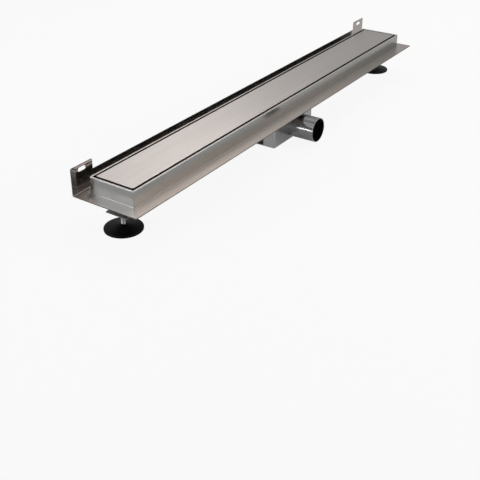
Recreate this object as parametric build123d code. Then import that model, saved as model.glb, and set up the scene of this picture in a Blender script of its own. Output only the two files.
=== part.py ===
from build123d import *
import os
from math import cos, radians

# A wall-side linear shower drain with a reversible cover, in millimetres.
# It lies along X, the wall is at +Y and the outlet opens towards -Y.
# The origin is the centre of the outlet pipe's open end.

# Channel: box frame and trough, folded from one sheet
SHEET = 1.5                 # stainless sheet of channel, flange, sump and cover
CHANNEL_LENGTH = 1000.0
CHANNEL_WIDTH = 94.5
CHANNEL_CORNER = 1.5        # outside radius of the upright corners
RIM_HEIGHT = 30.0           # rim above the top of the flange
HEM = 3.0                   # thickness of the folded-over rim
HEM_DEPTH = 10.0
HEM_ROUND = 0.6
FLOOR_FALL = 4.0            # fall of the trough floor from its ends to its flat middle
LANDING = 5.0               # floor left beside the drain hole

# Sealing flange and wall upstand
FLANGE_FRONT = 25.0
FLANGE_END = 25.0
FLANGE_CORNER = 1.0
WALL_GAP = 15.5             # from the box to the inner face of the upstand
FLANGE_BEND = 0.6           # inside radius of the upstand's bend
UPSTAND_HEIGHT = 30.0
EAR_LENGTH = 50.0
EAR_HEIGHT = 49.0
EAR_ROUND = 1.5
EAR_ROOT = 1.5
SLOT_LENGTH = 18.0
SLOT_WIDTH = 8.0
SLOT_INSET = 25.0           # slot centre from the end of the flange
SLOT_DROP = 8.5             # slot centre below the top of the ear
BEAD = 0.5                  # weld between box and flange

# Reversible cover, flat side up
WATER_GAP = 5.0             # open slot all round the cover
COVER_DEPTH = 13.5
COVER_CORNER = 1.5
COVER_ROUND = 0.4

# Bridges under the cover, and their rubber rests
SUPPORT_FROM_MIDDLE = 150.0
SUPPORT_FROM_END = 80.0
SUPPORT_LENGTH = 30.0
SUPPORT_FOOT = 12.0
BEND = 1.5                  # inside radius of the supports' and brackets' bends
REST_LENGTH = 20.0
REST_WIDTH = 10.0
REST_THICK = 2.0
REST_CORNER = 2.0

# Outlet and sump
OUTLET_DIAMETER = 50.0
OUTLET_REACH = 57.5         # open end in front of the box
OUTLET_DROP = 31.5          # axis below the top of the flange
OUTLET_SILL = 1.0           # sump wall left under the pipe
OUTLET_LINTEL = 0.5         # sump wall left over the pipe
SUMP_LENGTH = 150.0
SUMP_CORNER = 3.0
OUTLET_CHAMBER = 28.0       # depth of the sump's wide front part
SUMP_STEP = 14.0            # each side of the rear part steps in by this much
SUMP_FLAT = 5.0             # flat trough floor beyond the sump, each way

# Water trap
CUP_WALL = 2.0
CUP_PASS = 2.0              # play of the cup in the drain hole
CUP_ROUND = 6.0
CUP_FOOT = 2.5
CUP_FOOT_RADIUS = 3.0
CUP_FOOT_INSET = 14.0
CUP_FEET = 3
OVERFLOW_GAP = 9.5          # from the cup's rim to the underside of the trough
WATERWAY = 11.0             # ring gap between dip tube and cup
DIP_GAP = 6.0               # from the dip tube's end to the cup's floor
DIP_WALL = 2.0
DIP_FLANGE = 4.0            # flange's reach over the edge of the drain hole
DIP_FLANGE_THICK = 2.0
DIP_MOUTH = 1.5
FIN_THICK = 2.0
FIN_PLAY = 0.3
FIN_COUNT = 3
FIN_BELOW_RIM = 2.0
SEAL_THICK = 1.5
SEAL_PLAY = 0.5             # seal's inner edge stands back from the drain hole
STRAINER_SHEET = 1.0
STRAINER_LIP = 5.0
STRAINER_DEPTH = 6.0
STRAINER_PLAY = 0.7
STRAINER_HOLE = 4.5
STRAINER_INNER_RING = 8.5   # radius of the inner ring of holes
STRAINER_INNER_COUNT = 6
STRAINER_OUTER_RING = 15.0
STRAINER_OUTER_COUNT = 12
KNOB_RADIUS = 4.0
KNOB_STEM = 1.6
KNOB_HEIGHT = 7.0
KNOB_THICK = 3.0
KNOB_ROUND = 1.0

# Levelling feet
GROUND_CLEARANCE = 4.5      # sump above the ground that the pads stand on
FOOT_INSET = 22.5           # foot axis from the end of the box
STUD_DIAMETER = 8.0
STUD_PROJECTION = 7.5       # stud above its nut
STUD_CHAMFER = 0.8
HEAD_FLATS = 13.0
HEAD_HEIGHT = 3.5
HEAD_RECESS = 0.8
NUT_FLATS = 14.0
NUT_HEIGHT = 6.5
NUT_CHAMFER = 0.9           # inwards from the corners
NUT_CHAMFER_DROP = 0.45
THREAD_CLEARANCE = 0.05
BRACKET_SHEET = 2.0
BRACKET_LENGTH = 34.0
BRACKET_WIDTH = 44.0
BRACKET_DROP = 30.0         # top of the bracket's plate below the top of the flange
BRACKET_LUG = 20.0
BRACKET_HOLE_CLEARANCE = 0.5
PAD_RADIUS = 34.0
PAD_RIM = 3.4
PAD_LAND = 2.2
PAD_EDGE = 0.9
PAD_CROWN = 8.6
PAD_HUB_RADIUS = 6.5
PAD_HUB_HEIGHT = 10.0
PAD_RECESS_INNER = 11.0
PAD_RECESS_OUTER = 28.0
PAD_RECESS_DEPTH = 1.0

# Planes that the pieces share
DECK = OUTLET_DROP
FRONT = OUTLET_REACH
BACK = FRONT + CHANNEL_WIDTH
MIDDLE = (FRONT + BACK) / 2
HALF = CHANNEL_LENGTH / 2
RIM_TOP = DECK + RIM_HEIGHT
SUMP_UNDERSIDE = -OUTLET_DIAMETER / 2 - OUTLET_SILL - SHEET
SUMP_BASE = SUMP_UNDERSIDE + SHEET
GROUND = SUMP_UNDERSIDE - GROUND_CLEARANCE
FLAT_HALF = SUMP_LENGTH / 2 + SUMP_FLAT
OUTLET_BORE = OUTLET_DIAMETER / 2 - SHEET
TROUGH_UNDERSIDE = OUTLET_DIAMETER / 2 + OUTLET_LINTEL
COVER_EDGE = HEM + WATER_GAP
COVER_UNDERSIDE = RIM_TOP - COVER_DEPTH
SUPPORT_TOP = COVER_UNDERSIDE - REST_THICK
DRAIN_RADIUS = CHANNEL_WIDTH / 2 - SHEET - LANDING
FOOT_X = HALF - FOOT_INSET
PLATE_TOP = DECK - BRACKET_DROP
NUT_TOP = PLATE_TOP + NUT_HEIGHT
HEAD_TOP = GROUND + HEAD_RECESS + HEAD_HEIGHT

PICK = 0.01                 # half of the band in which edges are picked


def floor_level(x):
    """Top of the trough floor: flat in the middle and rising evenly to both ends."""
    rise = max(abs(x) - FLAT_HALF, 0) / (HALF - FLAT_HALF)
    return TROUGH_UNDERSIDE + SHEET + FLOOR_FALL * rise


def slab(outline, low, high):
    """Extrudes a flat outline from one height to another."""
    return extrude(Plane.XY.offset(low) * outline, high - low)


def along_y(outline, start, end):
    """Extrudes an outline drawn in X and Z from one Y to another."""
    return extrude(Plane.XZ.offset(-start) * outline, start - end)


def along_x(outline, start, end):
    """Extrudes an outline drawn in Y and Z from one X to another."""
    return extrude(Plane.YZ.offset(start) * outline, end - start)


def folded(points, sheet, bend):
    """Section of a sheet folded along its middle line, with the given inside bend radius."""
    return trace(FilletPolyline(*points, radius=bend + sheet / 2), sheet)


def upright(radius, low, high, x=0.0, y=0.0):
    """Upright round bar or core."""
    return Pos(x, y) * slab(Circle(radius), low, high)


def just_at(level):
    """Narrow band round a height, to pick the edges that lie there."""
    return level - PICK, level + PICK


def hexagon(flats):
    return RegularPolygon(flats / 2, 6, major_radius=False)


def trough_outline(half, drop):
    """Side view of the trough, its floor lowered by drop."""
    corners = [
        (-half, RIM_TOP),
        (half, RIM_TOP),
        (half, floor_level(half) - drop),
        (FLAT_HALF, floor_level(FLAT_HALF) - drop),
        (-FLAT_HALF, floor_level(FLAT_HALF) - drop),
        (-half, floor_level(half) - drop),
    ]
    return make_face(Polyline(*corners, close=True))


def channel_outline(margin, corner):
    """Plan of the box frame, grown by margin."""
    plan = RectangleRounded(CHANNEL_LENGTH + 2 * margin, CHANNEL_WIDTH + 2 * margin, corner)
    return Pos(0, MIDDLE) * plan


def make_channel_tray():
    outer = along_y(trough_outline(HALF, SHEET), FRONT, BACK)
    outer = fillet(outer.edges().filter_by(Axis.Z), CHANNEL_CORNER)
    inner = along_y(trough_outline(HALF - SHEET, 0), FRONT + SHEET, BACK - SHEET)
    mouth = Pos(0, MIDDLE) * Rectangle(CHANNEL_LENGTH - 2 * HEM, CHANNEL_WIDTH - 2 * HEM)
    hem = slab(channel_outline(0, CHANNEL_CORNER) - mouth, RIM_TOP - HEM_DEPTH, RIM_TOP)
    hem = fillet(hem.edges().group_by(Axis.Z)[-1], HEM_ROUND)
    walls = outer - inner - slab(channel_outline(SHEET, CHANNEL_CORNER), RIM_TOP - HEM_DEPTH, RIM_TOP)
    drain = upright(DRAIN_RADIUS, TROUGH_UNDERSIDE - SHEET, DECK, 0, MIDDLE)
    return walls + hem - drain


def make_wall_flange():
    wall_line = BACK + WALL_GAP + SHEET / 2
    section = folded(
        [
            (FRONT - FLANGE_FRONT, DECK - SHEET / 2),
            (wall_line, DECK - SHEET / 2),
            (wall_line, DECK + EAR_HEIGHT),
        ],
        SHEET,
        FLANGE_BEND,
    )
    end = HALF + FLANGE_END
    sheet = along_x(section, -end, end)
    front_corners = sheet.edges().filter_by(Axis.Z).group_by(Axis.Y)[0]
    sheet = fillet(front_corners, FLANGE_CORNER)

    shoulder = end - EAR_LENGTH
    above = Pos(0, DECK + (UPSTAND_HEIGHT + EAR_HEIGHT) / 2)
    gap = Rectangle(2 * shoulder, EAR_HEIGHT - UPSTAND_HEIGHT)
    sheet -= along_y(above * gap, wall_line - SHEET, wall_line + SHEET)
    edges = sheet.edges().filter_by(Axis.Y)
    sheet = fillet(edges.filter_by_position(Axis.Z, *just_at(DECK + EAR_HEIGHT)), EAR_ROUND)
    edges = sheet.edges().filter_by(Axis.Y)
    sheet = fillet(edges.filter_by_position(Axis.Z, *just_at(DECK + UPSTAND_HEIGHT)), EAR_ROOT)

    slot_level = DECK + EAR_HEIGHT - SLOT_DROP
    for side in (-1, 1):
        slot = Pos(side * (end - SLOT_INSET), slot_level) * SlotOverall(SLOT_LENGTH, SLOT_WIDTH)
        sheet -= along_y(slot, wall_line - SHEET, wall_line + SHEET)

    bead = extrude(Plane.XY.offset(DECK) * channel_outline(BEAD, CHANNEL_CORNER + BEAD), BEAD, taper=45)
    return sheet + bead - slab(channel_outline(0, CHANNEL_CORNER), DECK - 2 * SHEET, DECK + 2 * BEAD)


def make_cover_plate():
    length = CHANNEL_LENGTH - 2 * COVER_EDGE
    width = CHANNEL_WIDTH - 2 * COVER_EDGE
    plate = slab(Pos(0, MIDDLE) * RectangleRounded(length, width, COVER_CORNER), COVER_UNDERSIDE, RIM_TOP)
    plate = fillet(plate.edges().group_by(Axis.Z)[-1], COVER_ROUND)
    inside = Pos(0, MIDDLE) * Rectangle(length - 2 * SHEET, width - 2 * SHEET)
    return plate - slab(inside, COVER_UNDERSIDE, RIM_TOP - SHEET)


def support_places():
    outer = HALF - SUPPORT_FROM_END
    return (-outer, -SUPPORT_FROM_MIDDLE, SUPPORT_FROM_MIDDLE, outer)


def make_support(x, tray):
    """Bridge across the trough, its feet turned inwards and trimmed to the sloping floor."""
    near = FRONT + COVER_EDGE + SHEET / 2
    far = BACK - COVER_EDGE - SHEET / 2
    foot = floor_level(abs(x) - SUPPORT_LENGTH / 2) + SHEET / 2
    top = SUPPORT_TOP - SHEET / 2
    section = folded(
        [
            (near + SUPPORT_FOOT, foot),
            (near, foot),
            (near, top),
            (far, top),
            (far, foot),
            (far - SUPPORT_FOOT, foot),
        ],
        SHEET,
        BEND,
    )
    return along_x(section, x - SUPPORT_LENGTH / 2, x + SUPPORT_LENGTH / 2) - tray


def make_rest(x, side):
    """Rubber rest under one long edge of the cover: side -1 is the front and 1 the back."""
    y = MIDDLE + side * (CHANNEL_WIDTH / 2 - COVER_EDGE - REST_WIDTH / 2)
    plan = RectangleRounded(REST_LENGTH, REST_WIDTH, REST_CORNER)
    return slab(Pos(x, y) * plan, SUPPORT_TOP, COVER_UNDERSIDE)


def sump_plan():
    """Plan of the sump: a wide outlet chamber in front and a narrower part behind it."""
    wide = SUMP_LENGTH / 2
    narrow = wide - SUMP_STEP
    step = FRONT + OUTLET_CHAMBER
    half = [(0, FRONT), (wide, FRONT), (wide, step), (narrow, step), (narrow, BACK), (0, BACK)]
    mirrored = [(-x, y) for x, y in reversed(half[1:-1])]
    plan = make_face(Polyline(*half, *mirrored, close=True))
    return fillet([v for v in plan.vertices() if abs(v.X) > SUMP_CORNER], SUMP_CORNER)


def make_sump_body():
    plan = sump_plan()
    walls = slab(plan - offset(plan, -SHEET), SUMP_BASE, TROUGH_UNDERSIDE)
    return walls - along_y(Circle(OUTLET_BORE), FRONT - SHEET, FRONT + 2 * SHEET)


def make_sump_floor():
    plan = RectangleRounded(SUMP_LENGTH, CHANNEL_WIDTH, SUMP_CORNER)
    return slab(Pos(0, MIDDLE) * plan, SUMP_UNDERSIDE, SUMP_BASE)


def make_outlet_pipe():
    return along_y(Circle(OUTLET_DIAMETER / 2) - Circle(OUTLET_BORE), 0, FRONT)


CUP_RADIUS = DRAIN_RADIUS - CUP_PASS
CUP_BASE = SUMP_BASE + CUP_FOOT
CUP_RIM = TROUGH_UNDERSIDE - OVERFLOW_GAP
DIP_RADIUS = CUP_RADIUS - CUP_WALL - WATERWAY
DIP_END = CUP_BASE + CUP_WALL + DIP_GAP
SEAL_TOP = floor_level(0) + SEAL_THICK
DIP_TOP = SEAL_TOP + DIP_FLANGE_THICK


def make_trap_cup():
    outer = upright(CUP_RADIUS, CUP_BASE, CUP_RIM)
    outer = fillet(outer.edges().group_by(Axis.Z)[0], CUP_ROUND)
    inner = upright(CUP_RADIUS - CUP_WALL, CUP_BASE + CUP_WALL, CUP_RIM)
    inner = fillet(inner.edges().group_by(Axis.Z)[0], CUP_ROUND - CUP_WALL)
    cup = outer - inner
    for place in PolarLocations(CUP_RADIUS - CUP_FOOT_INSET, CUP_FEET, start_angle=90):
        cup += place * upright(CUP_FOOT_RADIUS, SUMP_BASE, CUP_BASE + CUP_WALL / 2)
    return Pos(0, MIDDLE) * cup


def make_trap_tube():
    """Dip tube with its flange, a rounded mouth and fins that centre the cup."""
    body = upright(DIP_RADIUS, DIP_END, DIP_TOP) + upright(DRAIN_RADIUS + DIP_FLANGE, SEAL_TOP, DIP_TOP)
    fin_reach = CUP_RADIUS - CUP_WALL - FIN_PLAY
    fin_top = CUP_RIM - FIN_BELOW_RIM
    fin = slab(Pos(fin_reach / 2, 0) * Rectangle(fin_reach, FIN_THICK), DIP_END, fin_top)
    for place in PolarLocations(0, FIN_COUNT, start_angle=90):
        body += place * fin
    body -= upright(DIP_RADIUS - DIP_WALL, DIP_END, DIP_TOP)
    mouth = body.edges().filter_by(GeomType.CIRCLE).group_by(Axis.Z)[-1].sort_by(SortBy.RADIUS)[0]
    return Pos(0, MIDDLE) * fillet(mouth, DIP_MOUTH)


def make_trap_seal():
    ring = Circle(DRAIN_RADIUS + DIP_FLANGE) - Circle(DRAIN_RADIUS + SEAL_PLAY)
    return slab(Pos(0, MIDDLE) * ring, floor_level(0), SEAL_TOP)


def make_hair_strainer():
    """Pressed dish with two rings of holes and a lifting knob."""
    bore = DIP_RADIUS - DIP_WALL
    lip = DIP_TOP + STRAINER_SHEET / 2
    dish = lip - STRAINER_DEPTH
    wall = bore - STRAINER_PLAY - STRAINER_SHEET
    section = folded(
        [(bore + STRAINER_LIP, lip), (wall, lip), (wall, dish), (0, dish)],
        STRAINER_SHEET,
        STRAINER_SHEET,
    )
    strainer = revolve(Plane.XZ * section, Axis.Z)
    rings = ((STRAINER_INNER_RING, STRAINER_INNER_COUNT), (STRAINER_OUTER_RING, STRAINER_OUTER_COUNT))
    for radius, count in rings:
        for place in PolarLocations(radius, count):
            strainer -= place * upright(STRAINER_HOLE / 2, dish - STRAINER_SHEET, dish + STRAINER_SHEET)
    strainer += upright(KNOB_STEM, dish, dish + KNOB_HEIGHT)
    knob = upright(KNOB_RADIUS, dish + KNOB_HEIGHT - KNOB_THICK, dish + KNOB_HEIGHT)
    strainer += fillet(knob.edges(), KNOB_ROUND)
    return Pos(0, MIDDLE) * strainer


def make_foot_bracket(side, tray):
    """Z-shaped strap: plate under the stud's nut, upright leg and a lug on the trough's underside."""
    outer = FOOT_X + BRACKET_LENGTH / 2
    leg = FOOT_X - BRACKET_LENGTH / 2 + BRACKET_SHEET / 2
    lug = floor_level(leg) - SHEET - BRACKET_SHEET / 2
    plate = PLATE_TOP - BRACKET_SHEET / 2
    points = [(outer, plate), (leg, plate), (leg, lug), (leg - BRACKET_LUG, lug)]
    section = folded([(side * x, z) for x, z in points], BRACKET_SHEET, BEND)
    strap = along_y(section, MIDDLE - BRACKET_WIDTH / 2, MIDDLE + BRACKET_WIDTH / 2)
    hole = STUD_DIAMETER / 2 + BRACKET_HOLE_CLEARANCE
    strap -= upright(hole, PLATE_TOP - 2 * BRACKET_SHEET, PLATE_TOP + BRACKET_SHEET, side * FOOT_X, MIDDLE)
    return strap - tray


def make_weld_nut(side):
    corner = NUT_FLATS / 2 / cos(radians(30))
    turned = upright(corner, PLATE_TOP, NUT_TOP)
    turned = chamfer(turned.edges().group_by(Axis.Z)[-1], NUT_CHAMFER_DROP, NUT_CHAMFER)
    nut = turned & slab(hexagon(NUT_FLATS), PLATE_TOP, NUT_TOP)
    nut -= upright(STUD_DIAMETER / 2 + THREAD_CLEARANCE, PLATE_TOP, NUT_TOP)
    return Pos(side * FOOT_X, MIDDLE) * nut


def make_foot_stud(side):
    """Stud with a low hexagon head that sits in the pad's underside."""
    shank = upright(STUD_DIAMETER / 2, HEAD_TOP, NUT_TOP + STUD_PROJECTION)
    shank = chamfer(shank.edges().group_by(Axis.Z)[-1], STUD_CHAMFER)
    head = slab(hexagon(HEAD_FLATS), HEAD_TOP - HEAD_HEIGHT, HEAD_TOP)
    return Pos(side * FOOT_X, MIDDLE) * (shank + head)


def make_foot_pad(side):
    """Low turned cone with an edge land, a hub and a recessed underside."""
    profile = [
        (0, 0),
        (PAD_RADIUS, 0),
        (PAD_RADIUS, PAD_RIM),
        (PAD_RADIUS - PAD_LAND, PAD_RIM),
        (PAD_HUB_RADIUS, PAD_CROWN),
        (PAD_HUB_RADIUS, PAD_HUB_HEIGHT),
        (0, PAD_HUB_HEIGHT),
    ]
    face = make_face(Polyline(*profile, close=True))
    edge = face.vertices().group_by(Axis.X)[-1].sort_by(Axis.Y)[-1]
    pad = revolve(Plane.XZ * fillet(edge, PAD_EDGE), Axis.Z)
    pad -= slab(Circle(PAD_RECESS_OUTER) - Circle(PAD_RECESS_INNER), 0, PAD_RECESS_DEPTH)
    pad -= slab(hexagon(HEAD_FLATS), 0, HEAD_TOP - GROUND)
    pad -= upright(STUD_DIAMETER / 2, 0, PAD_HUB_HEIGHT)
    return Pos(side * FOOT_X, MIDDLE, GROUND) * pad


def make_nodes():
    tray = make_channel_tray()
    nodes = {
        "channel_tray": tray,
        "wall_flange": make_wall_flange(),
        "cover_plate": make_cover_plate(),
        "sump_body": make_sump_body(),
        "sump_floor": make_sump_floor(),
        "outlet_pipe": make_outlet_pipe(),
        "trap_cup": make_trap_cup(),
        "trap_tube": make_trap_tube(),
        "trap_seal": make_trap_seal(),
        "hair_strainer": make_hair_strainer(),
    }
    for number, x in enumerate(support_places(), 1):
        nodes[f"cover_support_{number}"] = make_support(x, tray)
        nodes[f"cover_rest_{number}_front"] = make_rest(x, -1)
        nodes[f"cover_rest_{number}_back"] = make_rest(x, 1)
    for name, side in (("left", -1), ("right", 1)):
        nodes[f"foot_bracket_{name}"] = make_foot_bracket(side, tray)
        nodes[f"weld_nut_{name}"] = make_weld_nut(side)
        nodes[f"foot_stud_{name}"] = make_foot_stud(side)
        nodes[f"foot_pad_{name}"] = make_foot_pad(side)
    return nodes


os.makedirs("parts", exist_ok=True)
for node, shape in make_nodes().items():
    export_step(shape, f"parts/{node}.step")
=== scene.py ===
import math

import bpy
import numpy as np
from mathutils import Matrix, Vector


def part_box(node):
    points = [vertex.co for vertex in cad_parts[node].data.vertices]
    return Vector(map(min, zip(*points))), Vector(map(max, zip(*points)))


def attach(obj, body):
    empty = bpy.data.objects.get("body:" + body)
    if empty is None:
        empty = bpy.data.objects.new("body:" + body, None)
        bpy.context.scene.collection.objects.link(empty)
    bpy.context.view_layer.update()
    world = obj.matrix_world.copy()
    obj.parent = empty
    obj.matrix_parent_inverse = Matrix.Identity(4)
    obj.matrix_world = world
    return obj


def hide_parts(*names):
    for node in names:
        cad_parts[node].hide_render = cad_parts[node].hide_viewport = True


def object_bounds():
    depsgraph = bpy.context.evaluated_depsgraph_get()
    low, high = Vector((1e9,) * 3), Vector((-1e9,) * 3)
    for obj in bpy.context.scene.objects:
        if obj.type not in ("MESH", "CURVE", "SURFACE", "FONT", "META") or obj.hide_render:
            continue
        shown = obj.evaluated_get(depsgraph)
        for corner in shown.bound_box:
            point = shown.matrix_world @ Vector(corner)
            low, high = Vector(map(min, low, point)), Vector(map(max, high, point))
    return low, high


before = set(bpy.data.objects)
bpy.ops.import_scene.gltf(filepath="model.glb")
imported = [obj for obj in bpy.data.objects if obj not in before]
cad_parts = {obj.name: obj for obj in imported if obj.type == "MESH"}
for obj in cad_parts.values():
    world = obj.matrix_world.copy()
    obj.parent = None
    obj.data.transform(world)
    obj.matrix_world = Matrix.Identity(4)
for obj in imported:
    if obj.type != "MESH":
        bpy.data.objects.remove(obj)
cad_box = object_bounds()

MM = 0.001

# Camera: the photograph's viewpoint, in millimetres and degrees
EYE = (-1361.7, -728.2, 674.3)
LOOK_AZIMUTH = 55.97          # from +Y towards +X
LOOK_DOWN = 27.16
FOCAL_PIXELS = 825.2
CENTRE_ROW = 180.0            # the row that the lens looks straight at
PICTURE = 480.0               # width and height in pixels
SENSOR = 36.0
NEAREST, FURTHEST = 0.01, 100.0   # in metres

# Studio: soft boxes as (azimuth from +Y towards +X, elevation, width, height, radiance, colour), with
# angles in degrees and sizes in metres
SOFT_BOXES = (
    (80.0, 54.0, 1.3, 1.1, 3.9, "#FFF8F5"),
    (124.0, 20.0, 0.8, 0.9, 0.4, "#FFF1E5"),
    (142.0, 22.0, 0.8, 0.9, 1.3, "#FFEADB"),
    (158.0, 24.0, 0.9, 1.0, 4.4, "#FFF3F0"),
    (174.0, 30.0, 1.0, 1.2, 2.0, "#FFF5F8"),
    (-64.0, 9.0, 0.8, 0.9, 8.0, "#FFFFFF"),
    (-46.0, 27.0, 1.2, 1.0, 1.2, "#EFF3FF"),
    (-32.0, 46.0, 1.2, 0.9, 0.7, "#FFFFFF"),
    (20.0, 50.0, 1.2, 1.2, 0.5, "#FFFFFF"),
)
BOX_DISTANCE = 2.6            # metres from the middle of the drain
AMBIENT = 0.25                # strength of the surroundings as light, where the camera sees 1
FLOOR_HALF = 30.0             # metres
FLOOR_CLEAR = 0.9             # the camera sees this much of the white behind the floor, and the rest as paper
WHITE_IN_METAL = 0.2          # share of plain white in the floor and the surroundings as metal mirrors them

# Places on the pieces, in millimetres
PAST = 1000.0                 # beyond every face
CHANNEL_HALF = 500.0
CHANNEL_FRONT = 57.5
CHANNEL_BACK = 152.0
DECK = 31.5                   # top of the flange
RIM_TOP = 61.5                # top of the channel's rim, and of the upstand between the ears
RIM_BAND = 1.8                # the rim is linished this far down, and this band is painted lighter as a highlight
INSIDE = 1.0                  # the channel's inner faces lie further in than this
CUT_EDGE = 0.25               # depth of the dark cut edges, and the margin of the painted dark bands elsewhere
EAR_LENGTH = 50.0
WELD_LOW = 0.1                # above the deck, in front of WELD_BACK, only the weld stands this high
WELD_HEIGHT = 0.6
WELD_BACK = 153.0             # no weld lies behind this
NOTCH_FRONT = 85.5            # the sump's two notches begin here
SUMP_LEDGE = -26.0            # top of the sump's floor plate, which shows under the notches

# The end faces look along X, where the rolling has no direction of its own: they get a little of Z
END_TANGENT = (0.0, 0.0, 0.02)

# M8 stud, in millimetres
STUD_RADIUS = 4.0
THREAD_PITCH = 1.25
THREAD_DEPTH = 0.65
STUD_SIDES = 48
ROWS_PER_PITCH = 6
HEAD_FLATS = 13.0
HEAD_HEIGHT = 3.5
HEAD_EDGE = 0.4


def linear(code):
    """Linear RGBA of an sRGB hex colour."""
    parts = np.array([int(code[i:i + 2], 16) for i in (1, 3, 5)]) / 255
    values = np.where(parts <= 0.04045, parts / 12.92, ((parts + 0.055) / 1.055) ** 2.4)
    return (*map(float, values), 1.0)


def add(tree, kind, inputs=None, **settings):
    """Adds a node, sets its properties and gives its inputs a value or another node's output.
    A Mix node's colours are its inputs 6 and 7 and its output 2."""
    made = tree.nodes.new(kind)
    for name, value in settings.items():
        setattr(made, name, value)
    for name, value in (inputs or {}).items():
        if isinstance(value, bpy.types.NodeSocket):
            tree.links.new(value, made.inputs[name])
        else:
            made.inputs[name].default_value = value
    return made


def toward(azimuth, elevation):
    """Unit vector, azimuth from +Y towards +X."""
    a, e = math.radians(azimuth), math.radians(elevation)
    return Vector((math.sin(a) * math.cos(e), math.cos(a) * math.cos(e), math.sin(e)))


def new_material(name):
    """Empty material and its node tree."""
    material = bpy.data.materials.new(name)
    material.use_nodes = True
    material.node_tree.nodes.clear()
    return material, material.node_tree


def unevenness(tree, along_x, along_y, along_z, detail=3.0):
    """Random variation from 0 to 1 whose patches measure this many millimetres along each axis. The noise
    itself keeps mostly between 0.3 and 0.7."""
    place = add(tree, "ShaderNodeTexCoord").outputs["Object"]
    scale = tuple(1 / (size * MM) for size in (along_x, along_y, along_z))
    stretched = add(tree, "ShaderNodeMapping", {"Vector": place, "Scale": scale}).outputs[0]
    noise = add(tree, "ShaderNodeTexNoise", {"Vector": stretched, "Scale": 1.0, "Detail": detail})
    return add(tree, "ShaderNodeMapRange", {
        "Value": noise.outputs["Fac"], "From Min": 0.3, "From Max": 0.7,
    }).outputs["Result"]


def rolled_sheet(tree):
    """Variation from 0 to 1 of cold-rolled sheet: half streaks along its length and half broad patches."""
    rolled = unevenness(tree, 160.0, 2.5, 2.5, 4.0)
    mottled = unevenness(tree, 30.0, 30.0, 30.0, 2.0)
    return add(tree, "ShaderNodeMix", {"Factor": 0.5, "A": rolled, "B": mottled}).outputs[0]


def within(tree, low, high):
    """1 inside the box between two corners in millimetres, else 0: there the distance from the box's
    middle is less than half its size along every axis."""
    low, high = np.array(low) * MM, np.array(high) * MM
    place = add(tree, "ShaderNodeTexCoord").outputs["Object"]
    middle, half = tuple((low + high) / 2), tuple((high - low) / 2)
    offset = add(tree, "ShaderNodeVectorMath", {0: place, 1: middle}, operation="SUBTRACT").outputs[0]
    distance = add(tree, "ShaderNodeVectorMath", {0: offset}, operation="ABSOLUTE").outputs[0]
    beyond = add(tree, "ShaderNodeVectorMath", {0: distance, 1: half}, operation="SUBTRACT").outputs[0]
    x, y, z = add(tree, "ShaderNodeSeparateXYZ", {0: beyond}).outputs
    further = add(tree, "ShaderNodeMath", {0: x, 1: y}, operation="MAXIMUM").outputs[0]
    furthest = add(tree, "ShaderNodeMath", {0: further, 1: z}, operation="MAXIMUM").outputs[0]
    return add(tree, "ShaderNodeMath", {0: furthest, 1: 0.0}, operation="LESS_THAN").outputs[0]


def across(tree):
    """Tangent across the rolling and brushing, which run round the box: the face's normal crossed with X,
    and on the end faces, where that is nothing, Z."""
    normal = add(tree, "ShaderNodeNewGeometry").outputs["True Normal"]
    turned = add(tree, "ShaderNodeVectorMath", {0: normal, 1: (1.0, 0.0, 0.0)}, operation="CROSS_PRODUCT")
    kept = add(tree, "ShaderNodeVectorMath", {0: turned.outputs[0], 1: END_TANGENT}, operation="ADD")
    return kept.outputs[0]


def brushed_cover_steel():
    # Stainless sheet brushed along its length: pale, satin, with fine straight scratches. The sides of the
    # fold are painted near black, as painted shade for the gap beside the cover
    material, tree = new_material("brushed_cover_steel")
    scratches = unevenness(tree, 120.0, 0.9, 0.9, 4.0)
    bands = unevenness(tree, 600.0, 9.0, 9.0, 2.0)
    # painted shade: below the rim's top the cover is coloured near black for the shadow in the gap
    painted_gap_shade = within(tree, (-PAST, -PAST, -PAST), (PAST, PAST, RIM_TOP - CUT_EDGE))
    both = add(tree, "ShaderNodeMix", {"Factor": 0.4, "A": scratches, "B": bands}).outputs[0]
    top = add(tree, "ShaderNodeMix", {
        0: both, 6: linear("#CAC6C3"), 7: linear("#D5D1CE"),
    }, data_type="RGBA")
    colour = add(tree, "ShaderNodeMix", {
        0: painted_gap_shade, 6: top.outputs[2], 7: linear("#3A3938"),
    }, data_type="RGBA")
    rough = add(tree, "ShaderNodeMapRange", {"Value": scratches, "To Min": 0.36, "To Max": 0.42})
    bump = add(tree, "ShaderNodeBump", {"Height": scratches, "Strength": 0.05, "Distance": 0.01 * MM})
    shader = add(tree, "ShaderNodeBsdfPrincipled", {
        "Base Color": colour.outputs[2],
        "Metallic": 1.0,
        "Roughness": rough.outputs[0],
        "Anisotropic": 0.8,
        "Tangent": across(tree),
        "Normal": bump.outputs[0],
    })
    add(tree, "ShaderNodeOutputMaterial", {"Surface": shader.outputs[0]})
    return material


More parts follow.
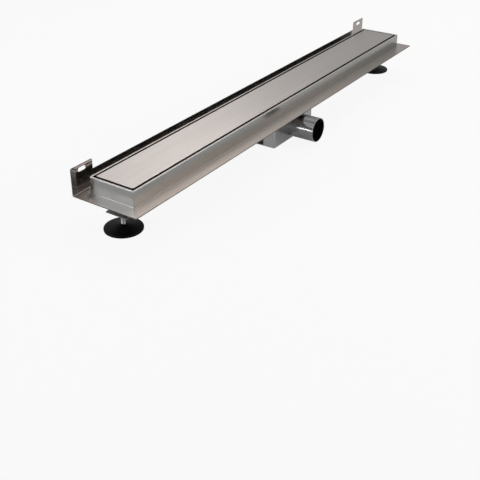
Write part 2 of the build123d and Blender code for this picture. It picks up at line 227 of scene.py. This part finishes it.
def folded_channel_steel():
    # Cold-rolled stainless, half bright: darker grey than the cover, softly mirroring, and linished along the
    # rim, which is rougher there and painted lighter as a highlight. Inside, a near-black colour is painted
    # shade
    material, tree = new_material("folded_channel_steel")
    # painted highlight: the rim band is coloured lighter for the light that its edge catches, and is also
    # rougher
    rim_band_and_highlight = within(tree, (-PAST, -PAST, RIM_TOP - RIM_BAND), (PAST, PAST, PAST))
    # painted shade: the channel's inner faces are coloured near black for the shadow between its walls
    painted_inside_shade = within(
        tree,
        (INSIDE - CHANNEL_HALF, CHANNEL_FRONT + INSIDE, DECK + INSIDE),
        (CHANNEL_HALF - INSIDE, CHANNEL_BACK - INSIDE, RIM_TOP - INSIDE),
    )
    colour = add(tree, "ShaderNodeMix", {
        0: rolled_sheet(tree), 6: linear("#9DA09F"), 7: linear("#A5A8A6"),
    }, data_type="RGBA")
    for place, shade in ((rim_band_and_highlight, "#C4C2C0"), (painted_inside_shade, "#3C3B3A")):
        colour = add(tree, "ShaderNodeMix", {
            0: place, 6: colour.outputs[2], 7: linear(shade),
        }, data_type="RGBA")
    rough = add(tree, "ShaderNodeMapRange", {"Value": rim_band_and_highlight, "To Min": 0.17, "To Max": 0.34})
    shader = add(tree, "ShaderNodeBsdfPrincipled", {
        "Base Color": colour.outputs[2],
        "Metallic": 1.0,
        "Roughness": rough.outputs[0],
        "Anisotropic": 0.6,
        "Tangent": across(tree),
    })
    add(tree, "ShaderNodeOutputMaterial", {"Surface": shader.outputs[0]})
    return material


def flange_steel():
    # The same cold-rolled sheet kept under film: brighter, so that the box mirrors in it, satin where it
    # lies level, smoother on the upstand, which is painted darker as shade, and dull and dark on its
    # laser-cut edges; the upstand's top edge is darkened too, as a painted reflection. The weld is grey along
    # the box, and its ends are painted pale as a highlight
    material, tree = new_material("flange_steel")
    low, high = (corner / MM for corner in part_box("wall_flange"))
    # painted highlight: the whole weld is coloured pale, and at its ends, beyond the long weld, this stands
    # for the light they catch
    painted_weld_highlight = within(tree, (-PAST, -PAST, DECK + WELD_LOW), (PAST, WELD_BACK, PAST))
    long_weld = within(tree, (-CHANNEL_HALF, -PAST, DECK + WELD_LOW), (CHANNEL_HALF, WELD_BACK, PAST))
    # painted shade: the upstand and ears are coloured darker than the level flange; they are also smoother
    smooth_shaded_upright = within(tree, (-PAST, WELD_BACK, DECK + WELD_HEIGHT), (PAST, PAST, PAST))
    faces = within(
        tree,
        (low.x + CUT_EDGE, low.y + CUT_EDGE, -PAST),
        (high.x - CUT_EDGE, PAST, high.z - CUT_EDGE),
    )
    # painted reflection: the upstand's top edge is given the cut edges' dark colour
    shaded_upstand_top = within(
        tree,
        (low.x + EAR_LENGTH, WELD_BACK, RIM_TOP - CUT_EDGE),
        (high.x - EAR_LENGTH, PAST, RIM_TOP + CUT_EDGE),
    )
    edges = add(tree, "ShaderNodeMath", {0: 1.0, 1: faces}, operation="SUBTRACT").outputs[0]
    cut_and_shaded_edges = add(tree, "ShaderNodeMath", {0: edges, 1: shaded_upstand_top}, operation="MAXIMUM").outputs[0]
    colour = add(tree, "ShaderNodeMix", {
        0: rolled_sheet(tree), 6: linear("#C9C1BC"), 7: linear("#D1C9C4"),
    }, data_type="RGBA")
    for place, shade in ((painted_weld_highlight, "#E6E4E2"), (long_weld, "#9C9995"), (smooth_shaded_upright, "#B0ACA8"), (cut_and_shaded_edges, "#62605D")):
        colour = add(tree, "ShaderNodeMix", {
            0: place, 6: colour.outputs[2], 7: linear(shade),
        }, data_type="RGBA")
    rough = add(tree, "ShaderNodeMapRange", {"Value": smooth_shaded_upright, "To Min": 0.32, "To Max": 0.13})
    shader = add(tree, "ShaderNodeBsdfPrincipled", {
        "Base Color": colour.outputs[2],
        "Metallic": 1.0,
        "Roughness": rough.outputs[0],
        "Anisotropic": 0.6,
        "Tangent": across(tree),
    })
    add(tree, "ShaderNodeOutputMaterial", {"Surface": shader.outputs[0]})
    return material


def sump_steel():
    # Pickled stainless of the welded sump: even mid grey with a dull sheen. In the notches behind the outlet
    # chamber a near-black colour is a painted dark reflection
    material, tree = new_material("sump_steel")
    mottled = unevenness(tree, 14.0, 14.0, 14.0, 5.0)
    # painted reflection: the notches behind the outlet chamber are coloured near black
    painted_notch_reflection = within(
        tree,
        (-PAST, NOTCH_FRONT + CUT_EDGE, SUMP_LEDGE - CUT_EDGE),
        (PAST, CHANNEL_BACK - CUT_EDGE, PAST),
    )
    even = add(tree, "ShaderNodeMix", {
        0: mottled, 6: linear("#B6B6B7"), 7: linear("#BEBEBF"),
    }, data_type="RGBA")
    colour = add(tree, "ShaderNodeMix", {
        0: painted_notch_reflection, 6: even.outputs[2], 7: linear("#4C4C4E"),
    }, data_type="RGBA")
    rough = add(tree, "ShaderNodeMapRange", {"Value": mottled, "To Min": 0.26, "To Max": 0.32})
    shader = add(tree, "ShaderNodeBsdfPrincipled", {
        "Base Color": colour.outputs[2],
        "Metallic": 1.0,
        "Roughness": rough.outputs[0],
    })
    add(tree, "ShaderNodeOutputMaterial", {"Surface": shader.outputs[0]})
    return material


def strap_steel():
    # Hot-rolled, pickled strap of the foot brackets: dark grey and dull
    material, tree = new_material("strap_steel")
    mottled = unevenness(tree, 6.0, 6.0, 6.0, 4.0)
    colour = add(tree, "ShaderNodeMix", {
        0: mottled, 6: linear("#707070"), 7: linear("#7C7C7C"),
    }, data_type="RGBA")
    rough = add(tree, "ShaderNodeMapRange", {"Value": mottled, "To Min": 0.30, "To Max": 0.40})
    shader = add(tree, "ShaderNodeBsdfPrincipled", {
        "Base Color": colour.outputs[2],
        "Metallic": 1.0,
        "Roughness": rough.outputs[0],
    })
    add(tree, "ShaderNodeOutputMaterial", {"Surface": shader.outputs[0]})
    return material


def polished_tube_steel():
    # Polished stainless tube: nearly a mirror, with the polishing wheel's hair-fine marks round it
    material, tree = new_material("polished_tube_steel")
    marks = unevenness(tree, 40.0, 0.9, 40.0)
    colour = add(tree, "ShaderNodeMix", {
        0: marks, 6: linear("#949495"), 7: linear("#9C9C9D"),
    }, data_type="RGBA")
    rough = add(tree, "ShaderNodeMapRange", {"Value": marks, "To Min": 0.17, "To Max": 0.21})
    bump = add(tree, "ShaderNodeBump", {"Height": marks, "Strength": 0.01, "Distance": 0.005 * MM})
    shader = add(tree, "ShaderNodeBsdfPrincipled", {
        "Base Color": colour.outputs[2],
        "Metallic": 1.0,
        "Roughness": rough.outputs[0],
        "Normal": bump.outputs[0],
    })
    add(tree, "ShaderNodeOutputMaterial", {"Surface": shader.outputs[0]})
    return material


def zinc_plating():
    # Bright zinc plating on turned steel: bluish white and slightly cloudy
    material, tree = new_material("zinc_plating")
    cloudy = unevenness(tree, 3.0, 3.0, 3.0)
    colour = add(tree, "ShaderNodeMix", {
        0: cloudy, 6: linear("#C9CCCF"), 7: linear("#DADCDD"),
    }, data_type="RGBA")
    rough = add(tree, "ShaderNodeMapRange", {"Value": cloudy, "To Min": 0.12, "To Max": 0.20})
    shader = add(tree, "ShaderNodeBsdfPrincipled", {
        "Base Color": colour.outputs[2],
        "Metallic": 1.0,
        "Roughness": rough.outputs[0],
    })
    add(tree, "ShaderNodeOutputMaterial", {"Surface": shader.outputs[0]})
    return material


def pad_plastic():
    # Moulded black polyamide with a fine spark-eroded skin: soft sheen, and a touch brown
    material, tree = new_material("pad_plastic")
    grain = unevenness(tree, 0.7, 0.7, 0.7, 2.0)
    patchy = unevenness(tree, 12.0, 12.0, 12.0)
    colour = add(tree, "ShaderNodeMix", {
        0: patchy, 6: linear("#030302"), 7: linear("#060605"),
    }, data_type="RGBA")
    rough = add(tree, "ShaderNodeMapRange", {"Value": patchy, "To Min": 0.34, "To Max": 0.42})
    bump = add(tree, "ShaderNodeBump", {"Height": grain, "Strength": 0.12, "Distance": 0.01 * MM})
    shader = add(tree, "ShaderNodeBsdfPrincipled", {
        "Base Color": colour.outputs[2],
        "Roughness": rough.outputs[0],
        "Specular IOR Level": 0.12,
        "Normal": bump.outputs[0],
    })
    add(tree, "ShaderNodeOutputMaterial", {"Surface": shader.outputs[0]})
    return material


def trap_plastic():
    # Injection-moulded polypropylene of the water trap: light grey, smooth, slightly waxy
    material, tree = new_material("trap_plastic")
    patchy = unevenness(tree, 10.0, 10.0, 10.0)
    colour = add(tree, "ShaderNodeMix", {
        0: patchy, 6: linear("#B9BCBE"), 7: linear("#C8CACB"),
    }, data_type="RGBA")
    rough = add(tree, "ShaderNodeMapRange", {"Value": patchy, "To Min": 0.38, "To Max": 0.48})
    shader = add(tree, "ShaderNodeBsdfPrincipled", {
        "Base Color": colour.outputs[2],
        "Roughness": rough.outputs[0],
        "Subsurface Weight": 0.05,
        "Subsurface Radius": (2 * MM, 2 * MM, 2 * MM),
    })
    add(tree, "ShaderNodeOutputMaterial", {"Surface": shader.outputs[0]})
    return material


def rest_rubber():
    # Matt black EPDM rubber with a dusty, slightly uneven skin
    material, tree = new_material("rest_rubber")
    dusty = unevenness(tree, 2.5, 2.5, 2.5)
    colour = add(tree, "ShaderNodeMix", {
        0: dusty, 6: linear("#161616"), 7: linear("#222221"),
    }, data_type="RGBA")
    rough = add(tree, "ShaderNodeMapRange", {"Value": dusty, "To Min": 0.7, "To Max": 0.85})
    bump = add(tree, "ShaderNodeBump", {"Height": dusty, "Strength": 0.1, "Distance": 0.015 * MM})
    shader = add(tree, "ShaderNodeBsdfPrincipled", {
        "Base Color": colour.outputs[2],
        "Roughness": rough.outputs[0],
        "Normal": bump.outputs[0],
    })
    add(tree, "ShaderNodeOutputMaterial", {"Surface": shader.outputs[0]})
    return material


def dress(material, *starts):
    """Gives every CAD node whose name starts so this material."""
    for name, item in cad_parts.items():
        if name.startswith(starts):
            item.data.materials.clear()
            item.data.materials.append(material)


def grid_mesh(name, points, material):
    """Mesh of a grid of points, rows by columns, closed round the columns and capped at both ends."""
    rows, columns = points.shape[:2]
    index = np.arange(rows * columns).reshape(rows, columns)
    after = np.roll(index, -1, axis=1)
    quads = np.stack([index[:-1], after[:-1], after[1:], index[1:]], axis=-1).reshape(-1, 4)
    mesh = bpy.data.meshes.new(name)
    mesh.from_pydata(points.reshape(-1, 3), [], [*map(tuple, quads), tuple(index[0][::-1]), tuple(index[-1])])
    mesh.update()
    mesh.materials.append(material)
    piece = bpy.data.objects.new(name, mesh)
    bpy.context.scene.collection.objects.link(piece)
    return piece


def threaded_stud(side, material):
    """M8 stud with a hexagon head. The head's radius is half its flats over the cosine of the angle from
    the nearest flat's middle, drawn in at its two edges. On the shank the radius falls from the crest by
    the thread's depth as a triangle wave of height / pitch less angle / full turn, so that the ridge
    climbs one pitch a turn. Over the first and last pitch the wave fades, to the crest at the head and to
    the root at the tip."""
    low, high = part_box(f"foot_stud_{side}")
    centre = (low + high) / 2
    pitch, edge = THREAD_PITCH * MM, HEAD_EDGE * MM
    shoulder = low.z + HEAD_HEIGHT * MM
    count = int((high.z - shoulder) / pitch * ROWS_PER_PITCH)
    shank = np.linspace(shoulder, high.z, count)
    head = np.array([low.z, low.z + edge, shoulder - edge, shoulder])
    z = np.concatenate([head, shank])[:, None]
    angle = np.linspace(0, 2 * np.pi, STUD_SIDES, endpoint=False)[None, :]
    on_head = (np.arange(len(z)) < len(head))[:, None]

    sixth = np.pi / 3
    hexagon = HEAD_FLATS / 2 * MM / np.cos((angle + sixth / 2) % sixth - sixth / 2)
    drawn_in = np.array([edge, 0.0, 0.0, edge] + [0.0] * count)[:, None]
    phase = (z / pitch - angle / (2 * np.pi)) % 1.0
    groove = 1 - np.abs(2 * phase - 1)
    fade = np.clip(np.minimum(z - shoulder, high.z - z) / pitch, 0, 1)
    thread = (STUD_RADIUS - THREAD_DEPTH * (groove * fade + (z > centre.z) * (1 - fade))) * MM
    reach = np.where(on_head, hexagon - drawn_in, thread)
    points = np.stack(
        np.broadcast_arrays(centre.x + reach * np.cos(angle), centre.y + reach * np.sin(angle), z), axis=-1
    )
    piece = grid_mesh(f"threaded_stud_{side}", points, material)
    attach(piece, f"foot_{side}")
    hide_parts(f"foot_stud_{side}")


def dress_nodes():
    """Gives every node its finish, and the feet their threaded studs."""
    dress(folded_channel_steel(), "channel_tray", "cover_support")
    dress(brushed_cover_steel(), "cover_plate")
    dress(strap_steel(), "foot_bracket")
    dress(flange_steel(), "wall_flange")
    dress(sump_steel(), "sump_")
    dress(polished_tube_steel(), "outlet_pipe", "hair_strainer")
    zinc = zinc_plating()
    dress(zinc, "weld_nut", "foot_stud")
    dress(pad_plastic(), "foot_pad")
    dress(trap_plastic(), "trap_cup", "trap_tube")
    dress(rest_rubber(), "trap_seal", "cover_rest")
    for side in ("left", "right"):
        threaded_stud(side, zinc)


def mirrored_white(tree, rays):
    """Share of plain white for rays that metal mirrors or glass lets through, and none for others."""
    glossy = add(tree, "ShaderNodeMath", {
        0: rays["Is Glossy Ray"], 1: rays["Is Transmission Ray"],
    }, operation="MAXIMUM").outputs[0]
    return add(tree, "ShaderNodeMath", {0: glossy, 1: WHITE_IN_METAL}, operation="MULTIPLY").outputs[0]


def make_floor():
    """Plain pale floor under the pads. It is solid to light and in the metal, but mostly clear to the
    camera, so that feet screwed further out and the underside still show."""
    level = cad_box[0].z
    corners = [(-1, -1), (1, -1), (1, 1), (-1, 1)]
    mesh = bpy.data.meshes.new("floor")
    mesh.from_pydata([(x * FLOOR_HALF, y * FLOOR_HALF, level) for x, y in corners], [], [(0, 1, 2, 3)])
    material, tree = new_material("floor_paper")
    paper = add(tree, "ShaderNodeBsdfDiffuse", {"Color": linear("#E7E7E7")}).outputs["BSDF"]
    glow = add(tree, "ShaderNodeEmission").outputs["Emission"]
    clear = add(tree, "ShaderNodeBsdfTransparent").outputs["BSDF"]
    rays = add(tree, "ShaderNodeLightPath").outputs
    solid = add(tree, "ShaderNodeMixShader", {0: mirrored_white(tree, rays), 1: paper, 2: glow}).outputs[0]
    seen_through = add(tree, "ShaderNodeMath", {
        0: rays["Is Camera Ray"], 1: FLOOR_CLEAR,
    }, operation="MULTIPLY").outputs[0]
    mixed = add(tree, "ShaderNodeMixShader", {0: seen_through, 1: solid, 2: clear}).outputs[0]
    add(tree, "ShaderNodeOutputMaterial", {"Surface": mixed})
    mesh.materials.append(material)
    floor = bpy.data.objects.new("floor", mesh)
    bpy.context.scene.collection.objects.link(floor)


def make_lights():
    """Soft boxes round the drain, each turned to its middle, and surroundings that are plain white to the
    camera, partly white in the metal and dim as light."""
    middle = (cad_box[0] + cad_box[1]) / 2
    for number, (azimuth, elevation, width, height, radiance, colour) in enumerate(SOFT_BOXES, 1):
        lamp = bpy.data.lights.new(f"soft_box_{number}", "AREA")
        lamp.shape = "RECTANGLE"
        lamp.size = width
        lamp.size_y = height
        lamp.energy = radiance * math.pi * width * height
        lamp.color = linear(colour)[:3]
        item = bpy.data.objects.new(lamp.name, lamp)
        bpy.context.scene.collection.objects.link(item)
        away = toward(azimuth, elevation)
        item.location = middle + away * BOX_DISTANCE
        item.rotation_mode = "QUATERNION"
        item.rotation_quaternion = away.to_track_quat("Z", "Y")
        item.visible_camera = False
    world = bpy.data.worlds.new("studio")
    world.use_nodes = True
    tree = world.node_tree
    tree.nodes.clear()
    rays = add(tree, "ShaderNodeLightPath").outputs
    white = add(tree, "ShaderNodeMath", {
        0: rays["Is Camera Ray"], 1: mirrored_white(tree, rays),
    }, operation="MAXIMUM").outputs[0]
    strength = add(tree, "ShaderNodeMapRange", {"Value": white, "To Min": AMBIENT, "To Max": 1.0})
    light = add(tree, "ShaderNodeBackground", {
        "Color": (1.0, 1.0, 1.0, 1.0), "Strength": strength.outputs["Result"],
    })
    add(tree, "ShaderNodeOutputWorld", {"Surface": light.outputs["Background"]})
    bpy.context.scene.world = world


def make_camera():
    """Camera at the photograph's viewpoint, with its picture shifted to the row that it looks straight at."""
    camera = bpy.data.cameras.new("camera")
    camera.sensor_width = SENSOR
    camera.lens = FOCAL_PIXELS * SENSOR / PICTURE
    camera.shift_y = (CENTRE_ROW - PICTURE / 2) / PICTURE
    camera.clip_start = NEAREST
    camera.clip_end = FURTHEST
    item = bpy.data.objects.new("camera", camera)
    bpy.context.scene.collection.objects.link(item)
    item.location = Vector(EYE) * MM
    item.rotation_mode = "QUATERNION"
    item.rotation_quaternion = toward(LOOK_AZIMUTH, -LOOK_DOWN).to_track_quat("-Z", "Y")
    bpy.context.scene.camera = item


dress_nodes()
make_floor()
make_lights()
make_camera()
bpy.context.scene.view_settings.view_transform = "Standard"
